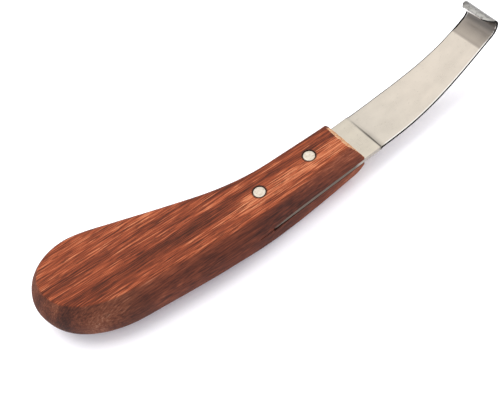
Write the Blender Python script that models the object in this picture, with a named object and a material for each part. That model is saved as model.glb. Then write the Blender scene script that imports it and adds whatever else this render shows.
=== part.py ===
"""Hoof knife: a wooden handle with a curved steel blade that ends in a rolled hook.

The blade's tang sits in a saw kerf at half the handle's thickness, and two metal pins pass right
through the wood and the tang. Lengths are in metres. While it is modelled, X = 0 is the handle's
front end, +X points to the blade's tip, Y = 0 is the blade's middle line and Z = 0 is the handle's
flat underside. At the end everything is moved so that the object's box is centred on X = Y = 0.
"""
import math

import bmesh
import bpy
from mathutils import Matrix, Vector

MM = 0.001

# Fit between pieces that touch.
GAP = 0.3 * MM

# Handle: a board of one thickness, cut to a swept outline.
HANDLE_THICKNESS = 22.2 * MM
KERF_LENGTH = 49.0 * MM
ARRIS_RADIUS = 0.8 * MM

# Handle's front end: the top face and the underside both slope down to the blade here. The slope
# starts behind X = 0 and ends past it, and its curve is 1 for a flat slope and more for a round one.
SLOPE_START_X = -1.0 * MM
SLOPE_END_X = 4.6 * MM
SLOPE_CURVE = 1.25
SLOPE_STEPS = 6
FRONT_WOOD_THICKNESS = 4.6 * MM

# How far the cutters reach past the wood that they cut.
CLEAR_OF_FACE = 1.0 * MM
CLEAR_OF_WIDTH = 60.0 * MM

# Pins.
PIN_DIAMETER = 4.76 * MM
FRONT_PIN_X = -14.6 * MM
PIN_SPACING = 24.6 * MM
PIN_SIDES = 40
PIN_SHY = 0.1 * MM

# Blade, measured along its outer face from the handle's front end.
STOCK_THICKNESS = 1.8 * MM
EDGE_THICKNESS = 0.8 * MM
TANG_LENGTH = 45.0 * MM
TANG_HALF_WIDTH = 10.5 * MM
TANG_CORNER_RADIUS = 5.0 * MM
GRIND_START = 13.8 * MM
GRIND_RUN = 0.5 * MM
GROUND_HALF_WIDTH = 10.2 * MM
HOOK_HALF_WIDTH = 7.7 * MM
SWEEP_START = 18.0 * MM
SWEEP_LENGTH = 56.0 * MM
SWEEP_ANGLE = math.radians(29.5)
TAPER_START = 25.0 * MM
TAPER_LENGTH = 53.0 * MM
FLAT_BEFORE_HOOK = 6.0 * MM
HOOK_NEAR_LENGTH = 14.4 * MM
HOOK_FAR_LENGTH = 16.0 * MM
HOOK_NEAR_RADIUS = 5.25 * MM
HOOK_FAR_RADIUS = 5.85 * MM
LIP_FAR_CORNER = (2.6 * MM, 4.0 * MM)
LIP_NEAR_CORNER = (4.8 * MM, 3.0 * MM)
WALKS_PER_STATION = 8

# The handle's top face, from its near front corner round the pommel to its far front corner:
# x, y and how far the side wall bulges out beyond the face at half thickness, in millimetres.
FACE_OUTLINE_MM = (
    (4.6, -7.1, 3.5),
    (-14.0, -8.4, 2.2),
    (-32.0, -9.1, 1.6),
    (-48.0, -8.6, 2.6),
    (-66.0, -6.2, 4.4),
    (-88.0, -2.9, 4.8),
    (-104.0, -0.3, 4.8),
    (-115.0, 4.5, 5.0),
    (-122.0, 11.5, 5.5),
    (-124.8, 20.5, 5.7),
    (-123.0, 27.5, 5.5),
    (-118.0, 32.0, 5.0),
    (-110.5, 33.8, 4.8),
    (-102.0, 32.4, 4.6),
    (-88.0, 26.8, 4.5),
    (-70.0, 19.5, 4.0),
    (-52.0, 12.9, 3.0),
    (-36.0, 9.3, 2.2),
    (-18.0, 7.9, 2.6),
    (4.6, 6.6, 4.0),
)
POINTS_PER_SPAN = 5


def clear_scene():
    for obj in list(bpy.data.objects):
        bpy.data.objects.remove(obj, do_unlink=True)


def material(name, colour, roughness, metallic):
    made = bpy.data.materials.new(name)
    made.use_nodes = True
    shader = made.node_tree.nodes["Principled BSDF"]
    shader.inputs["Base Color"].default_value = (*colour, 1.0)
    shader.inputs["Roughness"].default_value = roughness
    shader.inputs["Metallic"].default_value = metallic
    made.diffuse_color = (*colour, 1.0)
    return made


def object_from(mesh_data, name, finish=None):
    """A new object from a bmesh, with its normals out and its faces shaded smooth up to 35 degrees."""
    bmesh.ops.recalc_face_normals(mesh_data, faces=mesh_data.faces)
    mesh = bpy.data.meshes.new(name)
    mesh_data.to_mesh(mesh)
    mesh_data.free()
    mesh.shade_smooth()
    mesh.set_sharp_from_angle(angle=math.radians(35.0))
    obj = bpy.data.objects.new(name, mesh)
    bpy.context.scene.collection.objects.link(obj)
    if finish:
        mesh.materials.append(finish)
    return obj


def cut(obj, cutter):
    """Cuts one object from another with an exact Boolean, and keeps the cutter out of the render."""
    cutter.hide_render = True
    cutter.display_type = "WIRE"
    modifier = obj.modifiers.new("cut " + cutter.name, "BOOLEAN")
    modifier.operation = "DIFFERENCE"
    modifier.solver = "EXACT"
    modifier.object = cutter


def loft(rings, name, finish=None):
    """A closed solid through rings of equal point counts, capped at both ends."""
    made = bmesh.new()
    rows = [[made.verts.new(point) for point in ring] for ring in rings]
    count = len(rows[0])
    for low, high in zip(rows, rows[1:]):
        for i in range(count):
            j = (i + 1) % count
            made.faces.new((low[i], low[j], high[j], high[i]))
    made.faces.new(rows[0][::-1])
    made.faces.new(rows[-1])
    return object_from(made, name, finish)


def cylinder(name, diameter, low, high, x, y, finish=None):
    made = bmesh.new()
    middle = Matrix.Translation((x, y, (low + high) / 2))
    bmesh.ops.create_cone(
        made,
        cap_ends=True,
        segments=PIN_SIDES,
        radius1=diameter / 2,
        radius2=diameter / 2,
        depth=high - low,
        matrix=middle,
    )
    return object_from(made, name, finish)


def box(name, low, high):
    made = bmesh.new()
    size = Vector(high) - Vector(low)
    middle = (Vector(high) + Vector(low)) / 2
    place = Matrix.Translation(middle) @ Matrix.Diagonal((*size, 1.0))
    bmesh.ops.create_cube(made, size=1.0, matrix=place)
    return object_from(made, name)


def smooth_through(points, per_span):
    """Points on the Catmull-Rom curve through the given ones, ends included."""
    ends = [points[0] * 2 - points[1], *points, points[-1] * 2 - points[-2]]
    curve = []
    for a, b, c, d in zip(ends, ends[1:], ends[2:], ends[3:]):
        for step in range(per_span):
            t = step / per_span
            curve.append(
                (b * 2 + (c - a) * t + (a * 2 - b * 5 + c * 4 - d) * t**2
                 + (b * 3 - a - c * 3 + d) * t**3) / 2
            )
    return [*curve, points[-1]]


def handle_outline():
    """Round the top face: each point, the direction out of the wood there, and the wall's bulge."""
    points = smooth_through([Vector(p) * MM for p in FACE_OUTLINE_MM], POINTS_PER_SPAN)
    before = [points[0], *points[:-1]]
    after = [*points[1:], points[-1]]
    outline = []
    for back, point, ahead in zip(before, points, after):
        along = (ahead - back).xy.normalized()
        outward = Vector((-along.y, along.x))
        if point in (points[0], points[-1]):
            outward = Vector((0.0, math.copysign(1.0, point.y)))
        outline.append((point.xy, outward, point.z))
    return outline


def wall_levels():
    """Heights up the side wall, each with the share of the bulge and the rounding inset there."""
    half = HANDLE_THICKNESS / 2
    upper = [(half * u, 1.0 - u**2, 0.0) for u in (0.0, 0.2, 0.4, 0.6, 0.8)]
    for turn in (0.0, 0.5, 1.0):
        angle = turn * math.pi / 2
        height = half - ARRIS_RADIUS * (1.0 - math.sin(angle))
        upper.append((height, 1.0 - (height / half) ** 2, ARRIS_RADIUS * (1.0 - math.cos(angle))))
    lower = [(-height, share, inset) for height, share, inset in upper[:0:-1]]
    return [(half + height, share, inset) for height, share, inset in lower + upper]


def make_handle():
    wood = material("rosewood", (0.23, 0.065, 0.03), 0.38, 0.0)
    outline = handle_outline()
    rings = []
    for height, share, inset in wall_levels():
        ring = []
        for point, outward, bulge in outline:
            flat = point + outward * (bulge * share - inset)
            ring.append((flat.x, flat.y, height))
        rings.append(ring)
    handle = loft(rings, "handle", wood)
    cut(handle, make_kerf())
    for side in (-1.0, 1.0):
        cut(handle, make_front_slope(side))
    for name, x in pin_places():
        hole = PIN_DIAMETER / 2 + GAP
        low, high = -CLEAR_OF_FACE, HANDLE_THICKNESS + CLEAR_OF_FACE
        cut(handle, cylinder(name + "_hole", 2 * hole, low, high, x, 0.0))
    return handle


def make_kerf():
    """The saw kerf for the tang, right through the width and a little longer than the tang."""
    middle = HANDLE_THICKNESS / 2
    half = STOCK_THICKNESS / 2 + GAP
    low = (-KERF_LENGTH, -CLEAR_OF_WIDTH, middle - half)
    high = (SLOPE_END_X + CLEAR_OF_FACE, CLEAR_OF_WIDTH, middle + half)
    return box("kerf", low, high)


def make_front_slope(side):
    """The rounded slope from the top face (side 1) or the underside (side -1) down to the blade."""
    half = HANDLE_THICKNESS / 2
    drop = half - FRONT_WOOD_THICKNESS / 2
    clear_x = SLOPE_END_X + CLEAR_OF_FACE
    clear_z = half + CLEAR_OF_FACE
    profile = [(clear_x, clear_z), (SLOPE_START_X, clear_z)]
    for step in range(SLOPE_STEPS + 1):
        share = step / SLOPE_STEPS
        x = SLOPE_START_X + (SLOPE_END_X - SLOPE_START_X) * share
        profile.append((x, half - drop * share**SLOPE_CURVE))
    profile.append((clear_x, profile[-1][1]))
    sides = (-CLEAR_OF_WIDTH, CLEAR_OF_WIDTH)
    rings = [[(x, y, half + side * z) for x, z in profile] for y in sides]
    return loft(rings, "front_slope")


def pin_places():
    return (("front_pin", FRONT_PIN_X), ("rear_pin", FRONT_PIN_X - PIN_SPACING))


def make_pins():
    metal = material("pin metal", (0.83, 0.80, 0.74), 0.35, 1.0)
    return [
        cylinder(name, PIN_DIAMETER, PIN_SHY, HANDLE_THICKNESS - PIN_SHY, x, 0.0, metal)
        for name, x in pin_places()
    ]


def blade_stations():
    """Distances along the near side of the blade's outer face where its section is drawn."""
    tang = [-TANG_LENGTH + TANG_CORNER_RADIUS * (1.0 - math.cos(k * math.pi / 16)) for k in range(9)]
    root = [0.0, GRIND_START, GRIND_START + GRIND_RUN, SWEEP_START]
    sweep = [SWEEP_START + SWEEP_LENGTH * k / 16 for k in range(1, 17)]
    hook_start = SWEEP_START + SWEEP_LENGTH + FLAT_BEFORE_HOOK
    hook = [hook_start + HOOK_NEAR_LENGTH * k / 24 for k in range(25)]
    end = hook[-1]
    tip = [end - LIP_NEAR_CORNER[1] * (1.0 - math.sin(k * math.pi / 12)) for k in range(1, 6)]
    return sorted({*tang, *root, *sweep, *hook, *tip})


def heading(distance, hook_radius):
    """The angle that the blade's outer face has turned up through, this far along it."""
    if distance < SWEEP_START:
        return 0.0
    share = min(1.0, (distance - SWEEP_START) / SWEEP_LENGTH)
    swept = SWEEP_ANGLE * (share + share**2) / 2
    rolled = distance - SWEEP_START - SWEEP_LENGTH - FLAT_BEFORE_HOOK
    return swept + max(0.0, rolled) / hook_radius


def on_far_side(distance):
    """The distance along the far side, whose hook is longer, of a station on the near side."""
    rolled = max(0.0, distance - SWEEP_START - SWEEP_LENGTH - FLAT_BEFORE_HOOK)
    return distance + rolled * (HOOK_FAR_LENGTH / HOOK_NEAR_LENGTH - 1.0)


def outer_face_points(stations, hook_radius):
    """Each station's place on the outer face in X and Z, found by walking along the face."""
    x = -TANG_LENGTH
    z = (HANDLE_THICKNESS - STOCK_THICKNESS) / 2
    places = [(x, z)]
    for start, end in zip(stations, stations[1:]):
        stride = (end - start) / WALKS_PER_STATION
        for walk in range(WALKS_PER_STATION):
            angle = heading(start + (walk + 0.5) * stride, hook_radius)
            x += stride * math.cos(angle)
            z += stride * math.sin(angle)
        places.append((x, z))
    return places


def eased(share):
    share = min(1.0, max(0.0, share))
    return share**2 * (3.0 - 2.0 * share)


def corner_cut(from_end, width, length):
    """How much an elliptical corner takes off the half width, this far from the end."""
    share = 1.0 - min(1.0, max(0.0, from_end / length))
    return width * (1.0 - math.sqrt(1.0 - share**2))


def half_widths(distance, end):
    """The blade's reach towards -Y, its cutting edge, and towards +Y, its spine."""
    if distance <= GRIND_START:
        corner = corner_cut(distance + TANG_LENGTH, TANG_CORNER_RADIUS, TANG_CORNER_RADIUS)
        return TANG_HALF_WIDTH - corner, TANG_HALF_WIDTH - corner
    narrowing = eased((distance - TAPER_START) / TAPER_LENGTH)
    half = GROUND_HALF_WIDTH + (HOOK_HALF_WIDTH - GROUND_HALF_WIDTH) * narrowing
    near = half - corner_cut(end - distance, *LIP_NEAR_CORNER)
    far = half - corner_cut(end - distance, *LIP_FAR_CORNER)
    return near, far


def inward_at(distance, hook_radius):
    angle = heading(distance, hook_radius)
    return Vector((-math.sin(angle), 0.0, math.cos(angle)))


def make_blade():
    """A strip swept along the outer face, its inner face ground to a wedge from the shoulder on."""
    steel = material("stainless steel", (0.72, 0.70, 0.67), 0.28, 1.0)
    stations = blade_stations()
    rings = []
    near_places = outer_face_points(stations, HOOK_NEAR_RADIUS)
    far_places = outer_face_points([on_far_side(s) for s in stations], HOOK_FAR_RADIUS)
    for distance, near_place, far_place in zip(stations, near_places, far_places):
        near, far = half_widths(distance, stations[-1])
        ground = min(1.0, max(0.0, (distance - GRIND_START) / GRIND_RUN))
        near_thickness = STOCK_THICKNESS + (EDGE_THICKNESS - STOCK_THICKNESS) * ground
        outer_near = Vector((near_place[0], -near, near_place[1]))
        outer_far = Vector((far_place[0], far, far_place[1]))
        rings.append([
            outer_near,
            outer_far,
            outer_far + inward_at(on_far_side(distance), HOOK_FAR_RADIUS) * STOCK_THICKNESS,
            outer_near + inward_at(distance, HOOK_NEAR_RADIUS) * near_thickness,
        ])
    blade = loft(rings, "blade", steel)
    for name, x in pin_places():
        hole = PIN_DIAMETER / 2 + GAP
        cut(blade, cylinder(name + "_tang_hole", 2 * hole, 0.0, HANDLE_THICKNESS, x, 0.0))
    return blade


def centre_on_origin(objects):
    """Moves every object, cutters too, so that the pieces' box is centred on X = Y = 0."""
    bpy.context.view_layer.update()
    graph = bpy.context.evaluated_depsgraph_get()
    corners = [Vector(c) for obj in objects for c in obj.evaluated_get(graph).bound_box]
    middle_x = (min(c.x for c in corners) + max(c.x for c in corners)) / 2
    middle_y = (min(c.y for c in corners) + max(c.y for c in corners)) / 2
    for obj in bpy.data.objects:
        obj.data.transform(Matrix.Translation((-middle_x, -middle_y, 0.0)))


clear_scene()
centre_on_origin([make_handle(), make_blade(), *make_pins()])
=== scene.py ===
"""Hoof knife: the looks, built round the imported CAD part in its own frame.

Shapes are drawn in millimetres in the knife's own frame and moved to the CAD's place at the end:
X = 0 is the handle's front end, +X points to the blade's tip, Y = 0 is the blade's middle line and
Z = 0 is the handle's flat underside.
"""
import math

import bmesh
import bpy
from mathutils import Matrix, Vector, noise


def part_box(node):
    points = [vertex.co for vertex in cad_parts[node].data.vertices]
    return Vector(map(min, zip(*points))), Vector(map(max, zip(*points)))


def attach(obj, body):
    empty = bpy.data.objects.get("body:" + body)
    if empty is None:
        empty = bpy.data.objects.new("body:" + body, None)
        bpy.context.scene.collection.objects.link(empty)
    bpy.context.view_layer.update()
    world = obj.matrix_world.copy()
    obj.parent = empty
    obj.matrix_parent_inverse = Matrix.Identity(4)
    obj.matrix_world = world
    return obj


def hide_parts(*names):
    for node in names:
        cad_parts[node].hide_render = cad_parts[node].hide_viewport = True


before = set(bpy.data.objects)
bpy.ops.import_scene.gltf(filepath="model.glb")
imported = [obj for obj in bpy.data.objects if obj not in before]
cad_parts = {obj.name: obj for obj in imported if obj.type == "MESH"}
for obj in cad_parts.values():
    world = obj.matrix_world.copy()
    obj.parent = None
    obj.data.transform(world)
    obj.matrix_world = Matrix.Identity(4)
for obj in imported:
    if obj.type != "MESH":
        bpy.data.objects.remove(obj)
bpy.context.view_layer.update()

# The knife's frame in the CAD's frame: the front pin stands at (FRONT_PIN_X, 0).
FRONT_PIN_X = -14.6
pin_low, pin_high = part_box("front_pin")
pin_middle = (pin_low + pin_high) / 2
TO_CAD = Matrix.Translation((pin_middle.x, pin_middle.y, 0.0)) @ Matrix.Scale(0.001, 4)
TO_CAD = TO_CAD @ Matrix.Translation((-FRONT_PIN_X, 0.0, 0.0))

# How far cutters reach past the wood: ahead of its front end, to each side, and up and down.
CUT_AHEAD = 6.0
CUT_ASIDE = 30.0
CUT_ABOVE = 3.0

# Handle. It slopes away to both faces at its front end.
THICKNESS = 22.2
HALF = THICKNESS / 2
SLOPE_START_X = -1.0
SLOPE_END_X = 4.6
SLOPE_CURVE = 1.25
FRONT_WOOD_THICKNESS = 4.6
SLOPE_STEPS = 22
SLOPE_ROWS = 90
CHIP_DEPTH = 0.30
FINE_CHIP_DEPTH = 0.14
RIPPLE = 0.09
POCKET_GAP = 0.16
POCKET_CORNER_X = -41.9
POCKET_CORNER_INSET = 0.35
POCKET_CORNER_ANGLES = (math.radians(90.0), math.radians(22.0))
PIN_RADIUS = 2.38
PIN_GAP = 0.26
PIN_SHY = 0.1
REAR_PIN_X = -39.2
ROUND_SIDES = 72
HANDLE_SMOOTH_ANGLE = 30.0

# The saw's line: x, half its width, how far it wanders up.
KERF_LINE = (
    (CUT_AHEAD, 0.30, 0.0),
    (-43.0, 0.30, 0.0),
    (-46.0, 0.27, 0.12),
    (-48.0, 0.22, 0.32),
    (-49.2, 0.08, 0.5),
)

# The top face's outline: x, y, how far the side wall bulges beyond the face, the arris's radius.
FACE_OUTLINE = (
    (4.6, -7.1, 3.5, 0.7),
    (-14.0, -8.4, 2.2, 0.9),
    (-32.0, -9.1, 1.6, 1.0),
    (-48.0, -8.6, 2.6, 1.3),
    (-66.0, -6.2, 4.4, 1.4),
    (-88.0, -2.9, 4.8, 1.0),
    (-104.0, -0.3, 4.8, 0.6),
    (-115.0, 4.5, 5.0, 0.5),
    (-122.0, 11.5, 5.5, 0.5),
    (-124.8, 20.5, 5.7, 0.5),
    (-123.0, 27.5, 5.5, 0.5),
    (-118.0, 32.0, 5.0, 0.6),
    (-110.5, 33.8, 4.8, 0.7),
    (-102.0, 32.4, 4.6, 0.8),
    (-88.0, 26.8, 4.5, 0.9),
    (-70.0, 19.5, 4.0, 1.0),
    (-52.0, 12.9, 3.0, 1.1),
    (-36.0, 9.3, 2.2, 1.0),
    (-18.0, 7.9, 2.6, 0.8),
    (4.6, 6.6, 4.0, 0.7),
)
POINTS_PER_SPAN = 16

# Blade, measured along its outer face from the handle's front end.
STOCK = 1.8
EDGE = 0.8
TANG_LENGTH = 45.0
TANG_CORNER = 5.0
TANG_HALF_WIDTH = 10.5
GRIND_START = 13.8
GROUND_HALF_WIDTH = 10.2
HOOK_HALF_WIDTH = 7.7
SWEEP_START = 18.0
SWEEP_LENGTH = 56.0
SWEEP_END = SWEEP_START + SWEEP_LENGTH
SWEEP_ANGLE = math.radians(29.5)
FLAT_BEFORE_HOOK = 6.0
HOOK_START = SWEEP_END + FLAT_BEFORE_HOOK
HOOK_NEAR_LENGTH = 14.4
HOOK_FAR_LENGTH = 16.4
BLADE_END = HOOK_START + HOOK_NEAR_LENGTH
NEAR_RADIUS = 5.25
FAR_RADIUS = 5.85
LIP_FAR_CORNER = (2.3, 3.2)
LIP_NEAR_CORNER = (4.8, 3.0)
SHOULDER_LENGTH = 1.2
NARROWING_START = 25.0
NARROWING_LENGTH = 53.0
GRIND_RUN_IN = 0.55
OUTER_BREAK = 0.06
NEAR_CHAMFER_WIDTH = 0.20
NEAR_CHAMFER_GROUND = 0.06
NEAR_CHAMFER_DEPTH = 0.08
SPINE_CHAMFER_WIDTH = 0.40
SPINE_CHAMFER_HOOK_WIDTH = 0.50
SPINE_CHAMFER_DEPTH = 0.12
SPINE_CHAMFER_HOOK_DEPTH = 0.20
OUTER_FACE_PARTS = 6
INNER_FACE_PARTS = 10
LIP_THINNING = 0.42
LIP_THINNING_LENGTH = 0.35
WALKS_PER_STATION = 6
BLADE_SMOOTH_ANGLE = 24.0

# The blade's material slots, and the sides of its section that are filed and painted near black as
# painted shade. The sides at the cutting edge count back from the last.
FACE_SLOT, EDGE_SLOT, CUT_SLOT = 0, 1, 2
SPINE_CHAMFER = 8
NEAR_CHAMFER, NEAR_SIDE = -3, -2


# Camera, in the knife's frame.
CAMERA_PLACE = Vector((-103.083, -123.554, 224.657))
CAMERA_RIGHT = Vector((0.78395073, -0.60500741, -0.13923824))
CAMERA_DOWN = Vector((-0.5746313, -0.62224329, -0.53161279))
CAMERA_AHEAD = Vector((0.23498962, 0.49676888, -0.83546428))
SENSOR_WIDTH = 36.0
LENS = 46.8

# Lights, in metres in the CAD's frame: name, place, width, watts, tint.
LIGHTS = (
    ("key", (-0.05, 0.42, 1.15), 1.1, 12.0, (1.0, 0.99, 0.97)),
    ("fill", (0.7, -0.1, 0.9), 0.6, 1.5, (0.97, 0.98, 1.0)),
)
LIGHT_TARGET = Vector((0.0, 0.0, 0.01))
SKY_LOW = (0.42, 0.41, 0.43, 1.0)
SKY_HIGH = (1.0, 0.985, 0.96, 1.0)
SKY_STRENGTH = 1.2
FLOOR_HALF_SIZE = 2500.0


# ---------------------------------------------------------------- meshes

def to_object(made, name, materials, smooth_angle=32.0):
    """A new object from a bmesh in the knife's frame, put in the CAD's place."""
    bmesh.ops.recalc_face_normals(made, faces=made.faces)
    mesh = bpy.data.meshes.new(name)
    made.to_mesh(mesh)
    made.free()
    mesh.transform(TO_CAD)
    mesh.shade_smooth()
    mesh.set_sharp_from_angle(angle=math.radians(smooth_angle))
    for material in materials:
        mesh.materials.append(material)
    obj = bpy.data.objects.new(name, mesh)
    bpy.context.scene.collection.objects.link(obj)
    return obj


def loft(rings, material_of=None, labels=None):
    """A closed solid through rings of equal point counts, capped at both ends.

    material_of takes a side's number in the ring, or None for the last cap. Each label is a
    float attribute, with a value for each point of each ring.
    """
    made = bmesh.new()
    labels = labels or {}
    layers = {label: made.verts.layers.float.new(label) for label in labels}
    rows = []
    for r, ring in enumerate(rings):
        row = [made.verts.new(point) for point in ring]
        for label, values in labels.items():
            for vert, value in zip(row, values[r]):
                vert[layers[label]] = value
        rows.append(row)
    count = len(rows[0])
    for low, high in zip(rows, rows[1:]):
        for i in range(count):
            j = (i + 1) % count
            face = made.faces.new((low[i], low[j], high[j], high[i]))
            if material_of:
                face.material_index = material_of(i)
    made.faces.new(rows[0][::-1])
    last = made.faces.new(rows[-1])
    if material_of:
        last.material_index = material_of(None)
    return made


def cut(obj, cutter):
    modifier = obj.modifiers.new("cut", "BOOLEAN")
    modifier.operation = "DIFFERENCE"
    modifier.solver = "EXACT"
    modifier.material_mode = "TRANSFER"
    modifier.object = cutter


def apply_cuts(obj, cutters, smooth_angle):
    """Bakes the Booleans into the object's mesh and removes the cutters."""
    bpy.context.view_layer.update()
    graph = bpy.context.evaluated_depsgraph_get()
    mesh = bpy.data.meshes.new_from_object(obj.evaluated_get(graph))
    obj.modifiers.clear()
    obj.data = mesh
    mesh.name = obj.name
    mesh.shade_smooth()
    mesh.set_sharp_from_angle(angle=math.radians(smooth_angle))
    for cutter in cutters:
        bpy.data.objects.remove(cutter)


def smooth_through(points, per_span):
    """Points on the Catmull-Rom curve through the given ones, ends included."""
    ends = [points[0] * 2 - points[1], *points, points[-1] * 2 - points[-2]]
    curve = []
    for a, b, c, d in zip(ends, ends[1:], ends[2:], ends[3:]):
        for step in range(per_span):
            t = step / per_span
            curve.append(
                (b * 2 + (c - a) * t + (a * 2 - b * 5 + c * 4 - d) * t**2
                 + (b * 3 - a - c * 3 + d) * t**3) / 2
            )
    return [*curve, points[-1]]


def spread(start, end, parts):
    """Evenly spaced numbers from start to end, both included."""
    return [start + (end - start) * k / parts for k in range(parts + 1)]


def eased(share):
    """A smooth rise from 0 to 1 as the share goes from 0 to 1."""
    share = min(1.0, max(0.0, share))
    return share**2 * (3.0 - 2.0 * share)


# ---------------------------------------------------------------- handle

def handle_outline():
    """Round the top face: each point, the way out of the wood, the wall's bulge and the arris."""
    points = smooth_through([Vector(p) for p in FACE_OUTLINE], POINTS_PER_SPAN)
    before = [points[0], *points[:-1]]
    after = [*points[1:], points[-1]]
    outline = []
    for back, point, ahead in zip(before, points, after):
        along = (ahead - back).xy.normalized()
        outward = Vector((-along.y, along.x))
        if point in (points[0], points[-1]):
            outward = Vector((0.0, math.copysign(1.0, point.y)))
        outline.append((point.xy, outward, point.z, point.w))
    return outline


def wall_levels():
    """Up the side wall: share of the half height, and the turn round the arris from 0 to 1."""
    upper = [(u, 0.0) for u in (0.0, 0.12, 0.24, 0.36, 0.48, 0.6, 0.7, 0.79, 0.86)]
    upper += [(1.0, turn) for turn in (0.0, 0.2, 0.4, 0.6, 0.8, 1.0)]
    lower = [(-u, turn) for u, turn in upper[:0:-1]]
    return lower + upper


def wall_point(point, outward, bulge, radius, level, turn):
    """A point of the side wall at this level."""
    z = HALF * level
    inset = 0.0
    if abs(level) == 1.0:
        angle = turn * math.pi / 2
        z = math.copysign(HALF - radius * (1.0 - math.sin(angle)), level)
        inset = radius * (1.0 - math.cos(angle))
    flat = point + outward * (bulge * (1.0 - (z / HALF) ** 2) - inset)
    ripple = RIPPLE * noise.noise(Vector((flat.x * 0.06, flat.y * 0.06, z * 0.09)))
    flat = flat + outward * ripple * (1.0 - abs(level) ** 4)
    return Vector((flat.x, flat.y, HALF + z))


def make_handle(wood, end_grain, sawn):
    outline = handle_outline()
    rings = [
        [wall_point(*place, level, turn) for place in outline] for level, turn in wall_levels()
    ]
    made = loft(rings)
    bmesh.ops.triangulate(made, faces=[f for f in made.faces if len(f.verts) > 4])
    handle = to_object(made, "handle_wood", [wood, end_grain, sawn])
    cutters = [kerf_cutter(sawn), tang_pocket_cutter(sawn)]
    cutters += [slope_cutter(side, end_grain) for side in (-1.0, 1.0)]
    cutters += [hole_cutter(x, sawn) for x in (FRONT_PIN_X, REAR_PIN_X)]
    for cutter in cutters:
        cut(handle, cutter)
    apply_cuts(handle, cutters, HANDLE_SMOOTH_ANGLE)
    return handle


def kerf_cutter(sawn):
    """The saw's own cut, thin, which runs on past the tang and wanders a little at its end."""
    upper = [(x, rise + half) for x, half, rise in KERF_LINE]
    lower = [(x, rise - half) for x, half, rise in KERF_LINE]
    ring = upper + lower[::-1]
    rings = [[(x, y, HALF + z) for x, z in ring] for y in (-CUT_ASIDE, CUT_ASIDE)]
    return to_object(loft(rings), "kerf", [sawn])


def tang_pocket_cutter(sawn):
    """Room for the tang with a hairline gap round it, its rear corners round like the tang's."""
    half = STOCK / 2 + POCKET_GAP
    middle_x, middle_y = TANG_CORNER - TANG_LENGTH, TANG_HALF_WIDTH - TANG_CORNER
    radius = TANG_CORNER + POCKET_GAP
    plan = [(CUT_AHEAD, -CUT_ASIDE), (POCKET_CORNER_X, -CUT_ASIDE)]
    for angle in spread(*POCKET_CORNER_ANGLES, 12):
        y = middle_y + radius * math.sin(angle)
        if y < TANG_HALF_WIDTH - POCKET_CORNER_INSET:
            plan.append((middle_x - radius * math.cos(angle), -y))
    plan.append((middle_x - radius, -middle_y))
    far_side = [(x, -y) for x, y in plan[::-1]]
    rings = [[(x, y, HALF + z) for x, y in plan + far_side] for z in (-half, half)]
    return to_object(loft(rings), "tang_pocket", [sawn])


def slope_cutter(side, end_grain):
    """The rounded slope at the front end, with the chipped surface that the rasp left."""
    drop = HALF - FRONT_WOOD_THICKNESS / 2
    top, ahead = HALF + CUT_ABOVE, SLOPE_END_X + CUT_AHEAD
    rings = []
    for row in range(SLOPE_ROWS + 1):
        y = CUT_ASIDE * (2.0 * row / SLOPE_ROWS - 1.0)
        profile = [(ahead, top), (SLOPE_START_X - CHIP_DEPTH, top)]
        for step in range(SLOPE_STEPS + 1):
            share = step / SLOPE_STEPS
            x = SLOPE_START_X + (SLOPE_END_X - SLOPE_START_X) * share
            z = HALF - drop * share**SLOPE_CURVE
            chip = noise.noise(Vector((y * 0.9, z * 0.7, side * 7.0)))
            fine = noise.noise(Vector((y * 2.7, z * 2.2, side * 3.0)))
            x += CHIP_DEPTH * chip + FINE_CHIP_DEPTH * fine
            profile.append((x, z))
        profile.append((ahead, profile[-1][1]))
        rings.append([(x, y, HALF + side * z) for x, z in profile])
    return to_object(loft(rings), "slope", [end_grain])


def hole_cutter(x, sawn):
    made = bmesh.new()
    bmesh.ops.create_cone(
        made,
        cap_ends=True,
        segments=ROUND_SIDES,
        radius1=PIN_RADIUS + PIN_GAP,
        radius2=PIN_RADIUS + PIN_GAP,
        depth=THICKNESS + 2 * CUT_ABOVE,
        matrix=Matrix.Translation((x, 0.0, HALF)),
    )
    return to_object(made, "hole", [sawn])


# ---------------------------------------------------------------- pins

def make_pin(name, x, metal):
    """A pin filed flush: its edge is broken and its ends are very slightly domed."""
    profile = [(0.0, 0.06), (0.9, 0.05), (1.7, 0.03), (PIN_RADIUS - 0.16, 0.0)]
    profile += [(PIN_RADIUS - 0.05, -0.05), (PIN_RADIUS, -0.17)]
    top = [(r, THICKNESS - PIN_SHY + dz) for r, dz in profile]
    bottom = [(r, PIN_SHY - dz) for r, dz in profile[::-1]]
    turns = [2 * math.pi * k / ROUND_SIDES for k in range(ROUND_SIDES)]
    made = bmesh.new()
    rows = []
    for r, z in top + bottom:
        if r == 0.0:
            rows.append([made.verts.new((x, 0.0, z))])
        else:
            rows.append([made.verts.new((x + r * math.cos(a), r * math.sin(a), z)) for a in turns])
    for upper, lower in zip(rows, rows[1:]):
        for i in range(ROUND_SIDES):
            j = (i + 1) % ROUND_SIDES
            if len(upper) == 1:
                made.faces.new((upper[0], lower[i], lower[j]))
            elif len(lower) == 1:
                made.faces.new((upper[i], upper[j], lower[0]))
            else:
                made.faces.new((upper[i], upper[j], lower[j], lower[i]))
    return to_object(made, name, [metal])


# ---------------------------------------------------------------- blade

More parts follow.
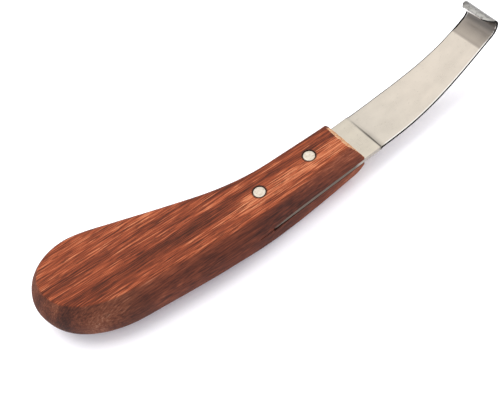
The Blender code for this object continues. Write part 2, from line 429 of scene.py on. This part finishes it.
def blade_stations():
    """Distances along the near side of the outer face where the section is drawn."""
    corner = [-TANG_LENGTH + TANG_CORNER * (1.0 - math.cos(k * math.pi / 24)) for k in range(13)]
    tang = [-TANG_LENGTH + TANG_CORNER + k * 2.5 for k in range(1, 16)]
    root = [1.0, 3.0, 6.0, 9.0, 12.0, GRIND_START - 0.4, GRIND_START - 0.2, GRIND_START]
    shoulder = [GRIND_START + k * 0.12 for k in range(1, 12)]
    sweep = [SWEEP_START - 2.0, *spread(SWEEP_START, SWEEP_END, 48)]
    crease = [SWEEP_END - 0.5, SWEEP_END - 0.2, SWEEP_END + 0.25, SWEEP_END + 0.7]
    flat = spread(SWEEP_END, HOOK_START, 6)[1:]
    hook = spread(HOOK_START, BLADE_END, 56)
    reach = LIP_NEAR_CORNER[1]
    tip = [BLADE_END - reach * (1.0 - math.sin(k * math.pi / 40)) for k in range(1, 20)]
    return sorted({*corner, *tang, *root, *shoulder, *sweep, *crease, *flat, *hook, *tip})


def heading(distance, hook_radius):
    """The angle that the outer face has turned up through, this far along it."""
    if distance < SWEEP_START:
        return 0.0
    share = min(1.0, (distance - SWEEP_START) / SWEEP_LENGTH)
    swept = SWEEP_ANGLE * (share + share**2) / 2
    return swept + max(0.0, distance - HOOK_START) / hook_radius


def on_far_side(distance):
    """The distance along the far side, whose hook is longer, of a station on the near side."""
    rolled = max(0.0, distance - HOOK_START)
    return distance + rolled * (HOOK_FAR_LENGTH / HOOK_NEAR_LENGTH - 1.0)


def outer_face_points(stations, hook_radius):
    """Each station's place on the outer face in X and Z, found by walking along the face."""
    x, z = -TANG_LENGTH, (THICKNESS - STOCK) / 2
    places = [(x, z)]
    for start, end in zip(stations, stations[1:]):
        stride = (end - start) / WALKS_PER_STATION
        for walk in range(WALKS_PER_STATION):
            angle = heading(start + (walk + 0.5) * stride, hook_radius)
            x += stride * math.cos(angle)
            z += stride * math.sin(angle)
        places.append((x, z))
    return places


def corner_cut(from_end, width, length):
    """How much an elliptical corner takes off the half width, this far from the end."""
    share = 1.0 - min(1.0, max(0.0, from_end / length))
    return width * (1.0 - math.sqrt(1.0 - share**2))


def half_widths(distance):
    """The blade's reach towards -Y, its cutting edge, and towards +Y, its spine."""
    if distance <= GRIND_START:
        corner = corner_cut(distance + TANG_LENGTH, TANG_CORNER, TANG_CORNER)
        return TANG_HALF_WIDTH - corner, TANG_HALF_WIDTH - corner
    shoulder = 1.0 - eased((distance - GRIND_START) / SHOULDER_LENGTH)
    narrowing = eased((distance - NARROWING_START) / NARROWING_LENGTH)
    half = GROUND_HALF_WIDTH + (HOOK_HALF_WIDTH - GROUND_HALF_WIDTH) * narrowing
    half += (TANG_HALF_WIDTH - GROUND_HALF_WIDTH) * shoulder
    near = half - corner_cut(BLADE_END - distance, *LIP_NEAR_CORNER)
    far = half - corner_cut(BLADE_END - distance, *LIP_FAR_CORNER)
    return near, far


def section(distance, near, far):
    """The section's points round from the near edge: y and height over the outer face.

    The outer face has its corners just broken. The inner face has a chamfer at each side, which
    is wider on the spine side of the hook.
    """
    near_thickness = STOCK - (STOCK - EDGE) * eased((distance - GRIND_START) / GRIND_RUN_IN)
    rolled = eased((distance - SWEEP_END + 1.0) / 3.0)
    ground = eased((distance - GRIND_START) / 0.8)
    outer = OUTER_BREAK
    inner_near = NEAR_CHAMFER_WIDTH + NEAR_CHAMFER_GROUND * ground
    inner_far = SPINE_CHAMFER_WIDTH + SPINE_CHAMFER_HOOK_WIDTH * rolled
    drop_far = SPINE_CHAMFER_DEPTH + SPINE_CHAMFER_HOOK_DEPTH * rolled
    wide = near + far

    def thickness_at(y):
        return near_thickness + (STOCK - near_thickness) * (y + near) / wide

    outer_ys = spread(-near + outer, far - outer, OUTER_FACE_PARTS)
    inner_ys = spread(far - inner_far, -near + inner_near, INNER_FACE_PARTS)
    points = [(y, 0.0) for y in outer_ys]
    points += [(far, outer), (far, STOCK - drop_far)]
    points += [(y, thickness_at(y)) for y in inner_ys]
    return points + [(-near, near_thickness - NEAR_CHAMFER_DEPTH), (-near, outer)]


def make_blade(steel, edge_steel, cut_steel):
    """A strip swept along the outer face, its inner face ground to a wedge from the shoulder on."""
    stations = blade_stations()
    near_places = outer_face_points(stations, NEAR_RADIUS)
    far_places = outer_face_points([on_far_side(s) for s in stations], FAR_RADIUS)
    rings = []
    labels = {"along": [], "across": [], "to_near": [], "to_far": []}
    for distance, near_place, far_place in zip(stations, near_places, far_places):
        near, far = half_widths(distance)
        near_turn = heading(distance, NEAR_RADIUS)
        far_turn = heading(on_far_side(distance), FAR_RADIUS)
        ring = []
        pairs = section(distance, near, far)
        from_end = BLADE_END - distance
        thin = LIP_THINNING * (1.0 - min(1.0, from_end / LIP_THINNING_LENGTH))
        for y, n in pairs:
            share = (y + near) / (near + far)
            n = thin + n * (1.0 - 2 * thin / STOCK)
            place = Vector(near_place).lerp(Vector(far_place), share)
            turn = near_turn + (far_turn - near_turn) * share
            ring.append((place.x - n * math.sin(turn), y, place.y + n * math.cos(turn)))
        rings.append(ring)
        labels["along"].append([distance] * len(ring))
        labels["across"].append([y for y, _ in pairs])
        labels["to_near"].append([y + near for y, _ in pairs])
        labels["to_far"].append([far - y for y, _ in pairs])
    count = len(rings[0])
    filed = (SPINE_CHAMFER, count + NEAR_CHAMFER, count + NEAR_SIDE)

    def material_of(side):
        if side is None:
            return CUT_SLOT
        return EDGE_SLOT if side in filed else FACE_SLOT

    made = loft(rings, material_of, labels)
    blade = to_object(made, "blade_steel", [steel, edge_steel, cut_steel], BLADE_SMOOTH_ANGLE)
    cutters = [hole_cutter(x, edge_steel) for x in (FRONT_PIN_X, REAR_PIN_X)]
    for cutter in cutters:
        cut(blade, cutter)
    apply_cuts(blade, cutters, BLADE_SMOOTH_ANGLE)
    return blade


# ---------------------------------------------------------------- materials

class Graph:
    """Shader nodes by short calls. Lengths in the shaders are in millimetres."""

    def __init__(self, name):
        self.material = bpy.data.materials.new(name)
        self.material.use_nodes = True
        self.tree = self.material.node_tree
        self.shader = self.tree.nodes["Principled BSDF"]

    def put(self, socket, value):
        if isinstance(value, bpy.types.NodeSocket):
            self.tree.links.new(value, socket)
        else:
            socket.default_value = value

    def node(self, kind, inputs=(), output=0, **settings):
        made = self.tree.nodes.new("ShaderNode" + kind)
        for key, value in settings.items():
            setattr(made, key, value)
        for key, value in dict(inputs).items():
            self.put(made.inputs[key], value)
        return made.outputs[output]

    def maths(self, operation, *values):
        return self.node("Math", dict(enumerate(values)), operation=operation)

    def times(self, first, *others):
        for other in others:
            first = self.maths("MULTIPLY", first, other)
        return first

    def swing(self, pattern, amount, onto, share=1.0):
        """Adds a noise's swing round its middle, times the amount and the share."""
        centred = self.maths("SUBTRACT", pattern, 0.5)
        return self.maths("MULTIPLY_ADD", self.times(centred, share), amount, onto)

    def place(self, turn=0.0):
        """The point in millimetres in the CAD's frame, turned about Z."""
        coords = self.node("TexCoord", output="Object")
        return self.node("Mapping", {0: coords, 2: (0.0, 0.0, turn), 3: (1000.0,) * 3})

    def label(self, name):
        """A mesh attribute of the blade, in millimetres."""
        return self.node("Attribute", output="Fac", attribute_name=name)

    def split(self, vector):
        made = self.tree.nodes.new("ShaderNodeSeparateXYZ")
        self.put(made.inputs[0], vector)
        return made.outputs

    def join(self, x, y, z):
        return self.node("CombineXYZ", {0: x, 1: y, 2: z})

    def noise(self, place, scale, shift=(0.0, 0.0, 0.0), detail=4.0, roughness=0.6):
        """Noise of this many features per millimetre along X, Y and Z."""
        vector = self.node("Mapping", {0: place, 1: shift, 3: scale})
        settings = {"Vector": vector, "Scale": 1.0, "Detail": detail, "Roughness": roughness}
        return self.node("TexNoise", settings)

    def ramp(self, value, stops):
        """Colours or brightnesses at positions from 0 to 1."""
        made = self.tree.nodes.new("ShaderNodeValToRGB")
        band = made.color_ramp
        while len(band.elements) < len(stops):
            band.elements.new(0.5)
        for element, (position, tone) in zip(band.elements, stops):
            element.position = position
            element.color = colour(*tone) if isinstance(tone, tuple) else colour(tone, tone, tone)
        self.put(made.inputs[0], value)
        return made.outputs[0]

    def within(self, value, low, high, to_low=0.0, to_high=1.0, smooth=True):
        kind = "SMOOTHSTEP" if smooth else "LINEAR"
        inputs = {0: value, 1: low, 2: high, 3: to_low, 4: to_high}
        return self.node("MapRange", inputs, interpolation_type=kind)

    def falls(self, value, start, end, start_share=1.0, end_share=0.0):
        return self.within(value, start, end, start_share, end_share)

    def mix(self, factor, a, b, blend="MIX"):
        inputs = {0: factor, 6: a, 7: b}
        return self.node("Mix", inputs, 2, data_type="RGBA", blend_type=blend)

    def tinted(self, base, tint):
        return self.mix(1.0, base, tint, "MULTIPLY")

    def shaded(self, base, factor):
        return self.tinted(base, self.join(factor, factor, factor))

    def bump(self, height, strength, distance, normal=None):
        inputs = {"Height": height, "Strength": strength, "Distance": distance * 0.001}
        if normal is not None:
            inputs["Normal"] = normal
        return self.node("Bump", inputs)

    def finish(self, **values):
        for key, value in values.items():
            self.put(self.shader.inputs[key.replace("_", " ")], value)
        return self.material


def colour(r, g, b):
    return (r, g, b, 1.0)


# The grain runs nearly along X. Its figure is broad bands across, given as the share of the way
# from the first to the last and the brightness there. They differ behind and in front.
GRAIN_TURN = math.radians(3.5)
BANDS_FROM, BANDS_TO = -24.0, 40.0
BACK_BANDS_END, FRONT_BANDS_START = -62.0, -34.0
BACK_BANDS = (
    (0.00, 0.30), (0.10, 0.34), (0.19, 0.42), (0.24, 0.60), (0.28, 0.66), (0.325, 0.44),
    (0.36, 0.28), (0.40, 0.30), (0.43, 0.60), (0.47, 0.44), (0.51, 0.58), (0.55, 0.42),
    (0.63, 0.64), (0.69, 0.54), (0.76, 0.60),
)
FRONT_BANDS = (
    (0.00, 0.24), (0.12, 0.26), (0.18, 0.34), (0.22, 0.60), (0.27, 0.78), (0.33, 0.82),
    (0.365, 0.60), (0.39, 0.32), (0.44, 0.38), (0.52, 0.30),
)
BAND_WANDER = 5.0
WOOD_SHADES = (
    (0.00, (0.032, 0.010, 0.006)),
    (0.20, (0.068, 0.017, 0.009)),
    (0.42, (0.132, 0.029, 0.013)),
    (0.62, (0.212, 0.047, 0.019)),
    (0.82, (0.345, 0.090, 0.038)),
    (1.00, (0.510, 0.200, 0.098)),
)
PORE_COLOUR = colour(0.035, 0.012, 0.008)
STAIN_COLOUR = colour(0.022, 0.010, 0.007)
# Near black for the inside of the kerf and the holes: painted shade.
KERF_SHADE_COLOUR = colour(0.030, 0.012, 0.009)
CHIP_SHADES = (
    (0.30, (0.26, 0.09, 0.04)), (0.46, (0.46, 0.22, 0.10)),
    (0.58, (0.66, 0.42, 0.25)), (0.78, (0.78, 0.60, 0.42)),
)
# Painted shade: the side walls, found by their slope, are tinted duller and darker, most of all
# round the butt.
WALL_LEVEL, FACE_LEVEL = 0.70, 0.985
BUTT_END, BUTT_START = -104.0, -84.0
BUTT_WALL_SHADE_TINT = colour(0.66, 0.98, 1.38)
WALL_SHADE_TINT = colour(0.92, 1.14, 1.46)
WALL_CALM = 0.45
WALL_DULL = 0.35


def wood_places(g):
    """The point in the knife's frame, and the same point turned to the grain."""
    origin = TO_CAD.translation * 1000
    own = g.node("Mapping", {0: g.place(), 1: (-origin.x, -origin.y, 0.0)})
    return own, g.node("Mapping", {0: own, 2: (0.0, 0.0, GRAIN_TURN)})


def figure(g, grain):
    """How bright the figure of the grain is, 0 dark to 1 orange, in broad straight bands."""
    x, across, _ = g.split(grain)
    warp = g.noise(grain, (0.015, 0.05, 0.05), detail=2.0, roughness=0.55)
    share = g.within(g.swing(warp, BAND_WANDER, across), BANDS_FROM, BANDS_TO, smooth=False)
    fore = g.within(x, BACK_BANDS_END, FRONT_BANDS_START)
    return g.mix(fore, g.ramp(share, BACK_BANDS), g.ramp(share, FRONT_BANDS))


def stained(g, base, own):
    """Darker wood in a ring round each pin."""
    x, y, _ = g.split(own)
    for pin_x in (FRONT_PIN_X, REAR_PIN_X):
        off = g.join(g.maths("SUBTRACT", x, pin_x), y, 0.0)
        reach = g.node("VectorMath", {0: off}, "Value", operation="LENGTH")
        stain = g.falls(reach, PIN_RADIUS + 0.35, PIN_RADIUS + 1.0, 0.85)
        base = g.mix(stain, base, STAIN_COLOUR)
    return base


def wood_surface(g, own, grain):
    """The oiled wood's colour, roughness and height."""
    upright = g.maths("ABSOLUTE", g.split(g.node("NewGeometry", output="Normal"))[2])
    wall = g.falls(upright, WALL_LEVEL, FACE_LEVEL)
    crisp = g.maths("MULTIPLY_ADD", wall, -WALL_CALM, 1.0)
    broad = g.noise(grain, (0.010, 0.22, 0.16), detail=3.0, roughness=0.5)
    stripes = g.noise(grain, (0.018, 1.05, 0.8), (3.1, 0.0, 0.0), 6.0, 0.66)
    fine = g.noise(grain, (0.09, 2.6, 1.3), (7.7, 0.0, 0.0), 3.0, 0.62)
    flame = g.noise(grain, (0.16, 0.05, 0.05), (1.7, 0.0, 0.0), 2.0, 0.5)
    level = g.swing(broad, 0.6, figure(g, grain))
    level = g.swing(stripes, 1.0, level, crisp)
    level = g.swing(fine, 2.0, level, crisp)
    level = g.swing(flame, 0.2, level)
    pores = g.noise(grain, (0.15, 2.5, 1.2), (0.0, 5.3, 0.0), 2.0)
    pore = g.times(g.within(pores, 0.57, 0.63), crisp)
    base = g.mix(g.times(pore, 0.68), g.ramp(level, WOOD_SHADES), PORE_COLOUR)
    base = stained(g, base, own)
    butt = g.within(g.split(grain)[0], BUTT_END, BUTT_START)
    # Painted shade: the side walls are tinted duller and darker, most of all round the butt.
    base = g.mix(wall, base, g.tinted(base, g.mix(butt, BUTT_WALL_SHADE_TINT, WALL_SHADE_TINT)))
    wear = g.noise(own, (0.05, 0.05, 0.05), (9.0, 2.0, 0.0))
    gloss = g.within(wear, 0.3, 0.7, 0.30, 0.42)
    gloss = g.maths("MULTIPLY_ADD", stripes, 0.10, gloss)
    gloss = g.maths("MULTIPLY_ADD", wall, WALL_DULL, gloss)
    height = g.maths("MULTIPLY_ADD", pore, -0.8, g.times(fine, 0.35))
    height = g.maths("ADD", height, g.times(stripes, 0.4))
    return base, gloss, height


def finish_wood(g, base, gloss, height, strength=0.55, depth=0.035):
    shape = g.bump(height, strength, depth)
    return g.finish(Base_Color=base, Roughness=gloss, Normal=shape, Specular_IOR_Level=0.12)


def make_wood():
    """Oiled red-brown hardwood with straight grain, dark streaks and fine open pores."""
    g = Graph("oiled hardwood")
    return finish_wood(g, *wood_surface(g, *wood_places(g)))


def make_end_grain():
    """Pale chipped wood on the front slopes, oiled again at the far corner."""
    g = Graph("chipped end grain")
    own, grain = wood_places(g)
    base = wood_surface(g, own, grain)[0]
    chips = g.noise(own, (1.3, 1.3, 1.3), detail=5.0, roughness=0.65)
    _, y, z = g.split(own)
    pale = g.falls(g.maths("MULTIPLY_ADD", z, 0.5, y), 16.0, 16.9, 0.86)
    base = g.mix(pale, base, g.ramp(chips, CHIP_SHADES))
    return finish_wood(g, base, 0.8, chips, 1.0, 0.10)


def make_sawn_wood():
    """Dull wood inside the kerf and the holes, painted near black: painted shade in these narrow
    cuts.
    """
    g = Graph("sawn wood in the kerf")
    base, _, height = wood_surface(g, *wood_places(g))
    return finish_wood(g, g.mix(0.8, base, KERF_SHADE_COLOUR), 0.85, height)


# The steel's colour along the blade, by distance from the handle's front end. From the crease at 74
# mm on it is painted darker, darkest inside the hook and greyer on its lip: painted shade and
# reflection of the curl.
STEEL_TONES_AND_HOOK_SHADE = (
    (-10.0, (0.60, 0.56, 0.48)),
    (13.1, (0.63, 0.58, 0.50)),
    (13.793, (0.60, 0.56, 0.49)),
    (14.86, (0.62, 0.575, 0.51)),
    (45.0, (0.66, 0.60, 0.53)),
    (73.38, (0.66, 0.60, 0.53)),
    (73.996, (0.36, 0.32, 0.285)),
    (75.25, (0.41, 0.365, 0.32)),
    (80.2, (0.34, 0.305, 0.275)),
    (83.5, (0.17, 0.16, 0.145)),
    (89.0, (0.15, 0.145, 0.135)),
    (92.85, (0.50, 0.495, 0.475)),
    (100.0, (0.52, 0.515, 0.495)),
)
LIP_START, LIP_FULL = 89.5, 91.5
SHOULDER_SHADE_COLOUR = colour(0.07, 0.06, 0.055)
LIP_RIM_COLOUR = colour(0.16, 0.155, 0.15)
RIM_HIGHLIGHT_COLOUR = colour(0.95, 0.94, 0.92)
RICASSO_SIDE_COLOUR = colour(0.45, 0.42, 0.38)


def steel_place(g):
    """The point on the unrolled strip, in millimetres: along it, across it."""
    return g.join(g.label("along"), g.label("across"), 0.0)


def painted_shoulder_shade(g):
    """How dark the painted shade at the shoulder's step is: a sharp dark line and a soft painted
    shadow beyond it.
    """
    along = g.label("along")
    off = g.maths("ABSOLUTE", g.maths("SUBTRACT", along, GRIND_START + 0.25))
    line = g.falls(off, 0.25, 0.95)
    soft = g.falls(along, GRIND_START + 0.2, GRIND_START + 3.2)
    soft = g.times(soft, g.within(along, GRIND_START - 0.1, GRIND_START + 0.1))
    towards_edge = g.within(g.label("across"), 9.0, -6.0, 0.08, 1.0)
    return g.times(g.maths("MAXIMUM", line, g.times(soft, 0.4)), towards_edge, 0.93)


def painted_rim_highlights(g, flat):
    """Painted highlights: the bright line inside the cutting edge, speckled at the hook, and inside
    the hook's spine.
    """
    along = g.label("along")
    specks = g.within(g.noise(flat, (1.6, 1.6, 1.0), detail=2.0), 0.50, 0.56)
    at_hook = g.within(along, 76.0, 80.0)
    speckled = g.maths("MULTIPLY_ADD", at_hook, g.maths("SUBTRACT", specks, 1.0), 1.0)
    edge = g.falls(g.label("to_near"), 0.62, 0.75)
    edge = g.times(edge, g.within(along, GRIND_START + 1.0, GRIND_START + 4.0), speckled)
    edge = g.times(edge, g.falls(along, 86.0, 88.0))
    spine = g.falls(g.label("to_far"), 0.95, 1.25)
    spine = g.times(spine, g.within(along, 80.0, 83.0), g.falls(along, 88.0, 90.0), 0.8)
    return g.times(g.maths("MAXIMUM", edge, spine), 0.85)


def make_steel():
    """Satin stainless: ground across the strip, with painted shade and reflection darkening it from
    the crease on and inside the hook.
    """
    g = Graph("satin stainless steel")
    flat = steel_place(g)
    along = g.label("along")
    first, last = STEEL_TONES_AND_HOOK_SHADE[0][0], STEEL_TONES_AND_HOOK_SHADE[-1][0]
    zones = [((distance - first) / (last - first), tone) for distance, tone in STEEL_TONES_AND_HOOK_SHADE]
    # The ramp paints shade and reflection from the crease on and inside the hook.
    base = g.ramp(g.within(along, first, last, smooth=False), zones)
    # Painted shade at the shoulder's step.
    base = g.mix(painted_shoulder_shade(g), base, SHOULDER_SHADE_COLOUR)
    cloud = g.noise(flat, (0.09, 0.14, 1.0), (2.0, 9.0, 0.0), 3.0, 0.5)
    base = g.shaded(base, g.within(cloud, 0.3, 0.7, 0.93, 1.05))
    lip = g.within(along, LIP_START, LIP_FULL)
    rim = g.times(lip, g.within(g.label("across"), 4.6, 6.6))
    base = g.mix(g.times(rim, 0.6), base, LIP_RIM_COLOUR)
    spots = g.noise(flat, (0.7, 0.8, 1.0), (5.0, 1.0, 0.0))
    spots = g.maths("MULTIPLY_ADD", lip, 0.10, spots)
    darkest = g.maths("MULTIPLY_ADD", lip, -0.28, 0.88)
    base = g.shaded(base, g.falls(spots, 0.60, 0.70, 1.0, darkest))
    # Painted highlights along the inner rims of the cutting edge and the hook's spine.
    base = g.mix(painted_rim_highlights(g, flat), base, RIM_HIGHLIGHT_COLOUR)
    lines = g.noise(flat, (7.0, 0.16, 1.0))
    gloss = g.swing(cloud, 0.2, g.within(lines, 0.25, 0.75, 0.27, 0.41))
    after_crease = g.within(along, SWEEP_END, SWEEP_END + 4.0)
    gloss = g.maths("MULTIPLY_ADD", after_crease, 0.08, gloss)
    lengthways = g.noise(flat, (0.12, 5.0, 1.0), (4.0, 0.0, 0.0))
    shape = g.bump(g.maths("MULTIPLY_ADD", lengthways, 0.35, lines), 0.35, 0.012)
    scratches = g.noise(flat, (2.2, 0.5, 1.0), (8.0, 3.0, 0.0), 2.0, 0.5)
    shape = g.bump(g.within(scratches, 0.66, 0.70), 0.4, 0.02, shape)
    return g.finish(
        Base_Color=base, Roughness=gloss, Metallic=1.0, Normal=shape, Anisotropic=0.35
    )


def make_filed_steel(name, low, high, rough, grit, graze, in_kerf=None):
    """Steel as filed on an edge: coarse lines along it, between two shades.

    The side of the tang and the ricasso is brighter where in_kerf gives the tang's colour.
    """
    g = Graph(name)
    flat = steel_place(g)
    along = g.label("along")
    lines = g.noise(flat, (0.5, grit, 1.0))
    nicks = g.noise(flat, (1.7, 1.7, 1.0), detail=3.0)
    streak = g.within(g.maths("MULTIPLY_ADD", nicks, 0.5, lines), 0.5, 1.0)
    base = g.mix(streak, low, high)
    if in_kerf:
        thick = g.mix(g.within(along, -1.0, 3.0), in_kerf, RICASSO_SIDE_COLOUR)
        base = g.mix(g.within(along, GRIND_START - 1.2, GRIND_START + 0.4), thick, base)
    gloss = g.within(lines, 0.3, 0.7, rough - 0.06, rough + 0.08)
    shape = g.bump(nicks, 0.5, 0.03)
    return g.finish(
        Base_Color=base, Roughness=gloss, Metallic=1.0, Normal=shape, Specular_Tint=graze
    )


def make_shaded_edge_steel():
    return make_filed_steel(
        "filed edge steel with painted shade",
        # Near black with damped grazing reflection: painted shade and dark reflection on the blade's
        # narrow edge faces and chamfers.
        low=colour(0.008, 0.008, 0.008),
        high=colour(0.036, 0.034, 0.032),
        rough=0.45,
        grit=6.0,
        graze=colour(0.3, 0.3, 0.3),
        in_kerf=colour(0.20, 0.172, 0.145),
    )


def make_honed_steel():
    return make_filed_steel(
        "honed steel",
        low=colour(0.60, 0.57, 0.53),
        high=colour(0.88, 0.87, 0.85),
        rough=0.30,
        grit=8.0,
        graze=colour(1.0, 1.0, 1.0),
    )


def make_pin_metal():
    """Pale soft metal filed flush, with cross scratches and small dull patches."""
    g = Graph("filed pin metal")
    place = g.place()
    file_lines = g.noise(place, (0.9, 9.0, 0.5))
    cross_lines = g.noise(g.place(1.2), (0.8, 8.0, 0.5), detail=3.0)
    patch = g.noise(place, (0.9, 0.9, 0.9), (4.0, 0.0, 0.0), roughness=0.65)
    base = g.ramp(patch, (
        (0.30, (0.50, 0.43, 0.36)), (0.45, (0.68, 0.61, 0.52)), (0.70, (0.78, 0.73, 0.65)),
    ))
    shape = g.bump(g.maths("MULTIPLY_ADD", cross_lines, 0.7, file_lines), 0.45, 0.02)
    gloss = g.within(patch, 0.3, 0.7, 0.50, 0.36)
    return g.finish(Base_Color=base, Roughness=gloss, Metallic=0.9, Normal=shape)


def make_floor_material():
    g = Graph("white paper")
    fibre = g.noise(g.place(), (0.8, 0.8, 0.8), detail=5.0)
    base = g.ramp(fibre, ((0.3, (0.885, 0.89, 0.93)), (0.7, (0.91, 0.915, 0.95))))
    return g.finish(
        Base_Color=base,
        Roughness=0.9,
        Normal=g.bump(fibre, 0.1, 0.05),
        Specular_IOR_Level=0.1,
        Emission_Color=colour(0.72, 0.72, 1.0),
        Emission_Strength=0.09,
    )


# ---------------------------------------------------------------- stage

def make_floor():
    made = bmesh.new()
    bmesh.ops.create_grid(made, x_segments=4, y_segments=4, size=FLOOR_HALF_SIZE)
    floor = to_object(made, "floor", [make_floor_material()])


def make_light(name, place, size, watts, tint):
    data = bpy.data.lights.new(name, "AREA")
    data.shape = "DISK"
    data.size = size
    data.energy = watts
    data.color = tint
    lamp = bpy.data.objects.new(name, data)
    lamp.location = place
    lamp.visible_glossy = False
    lamp.rotation_euler = (LIGHT_TARGET - Vector(place)).to_track_quat("-Z", "Y").to_euler()
    bpy.context.scene.collection.objects.link(lamp)


def make_world():
    """A soft room, bright overhead and darker low down."""
    world = bpy.data.worlds.new("studio")
    bpy.context.scene.world = world
    world.use_nodes = True
    tree = world.node_tree
    tree.nodes.clear()
    coords = tree.nodes.new("ShaderNodeTexCoord")
    parts = tree.nodes.new("ShaderNodeSeparateXYZ")
    tree.links.new(coords.outputs["Generated"], parts.inputs[0])
    ramp = tree.nodes.new("ShaderNodeValToRGB")
    ramp.color_ramp.elements[0].position = 0.0
    ramp.color_ramp.elements[0].color = SKY_LOW
    ramp.color_ramp.elements[1].position = 0.75
    ramp.color_ramp.elements[1].color = SKY_HIGH
    tree.links.new(parts.outputs["Z"], ramp.inputs[0])
    background = tree.nodes.new("ShaderNodeBackground")
    tree.links.new(ramp.outputs[0], background.inputs["Color"])
    background.inputs["Strength"].default_value = SKY_STRENGTH
    output = tree.nodes.new("ShaderNodeOutputWorld")
    tree.links.new(background.outputs[0], output.inputs["Surface"])


def make_camera():
    """The camera in the knife's frame, moved with it."""
    data = bpy.data.cameras.new("camera")
    data.sensor_width = SENSOR_WIDTH
    data.lens = LENS
    data.clip_start = 0.01
    turn = Matrix((CAMERA_RIGHT, -CAMERA_DOWN, -CAMERA_AHEAD)).transposed()
    camera = bpy.data.objects.new("camera", data)
    camera.matrix_world = Matrix.Translation(TO_CAD @ CAMERA_PLACE) @ turn.to_4x4()
    bpy.context.scene.collection.objects.link(camera)
    bpy.context.scene.camera = camera


def set_colours():
    view = bpy.context.scene.view_settings
    view.view_transform = "Standard"
    view.look = "None"
    view.exposure = 0.0
    view.gamma = 1.0


def main():
    wood, end_grain, sawn = make_wood(), make_end_grain(), make_sawn_wood()
    steel, edge, lip = make_steel(), make_shaded_edge_steel(), make_honed_steel()
    pin_metal = make_pin_metal()
    handle = make_handle(wood, end_grain, sawn)
    blade = make_blade(steel, edge, lip)
    pieces = [(handle, "handle", "wood"), (blade, "blade", "steel")]
    for node, x in (("front_pin", FRONT_PIN_X), ("rear_pin", REAR_PIN_X)):
        pieces.append((make_pin(node + "_metal", x, pin_metal), node, "pin_metal"))
    for piece, node, slot in pieces:
        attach(piece, "root")
        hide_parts(node)
    make_floor()
    make_world()
    make_camera()
    set_colours()
    for light in LIGHTS:
        make_light(*light)


main()
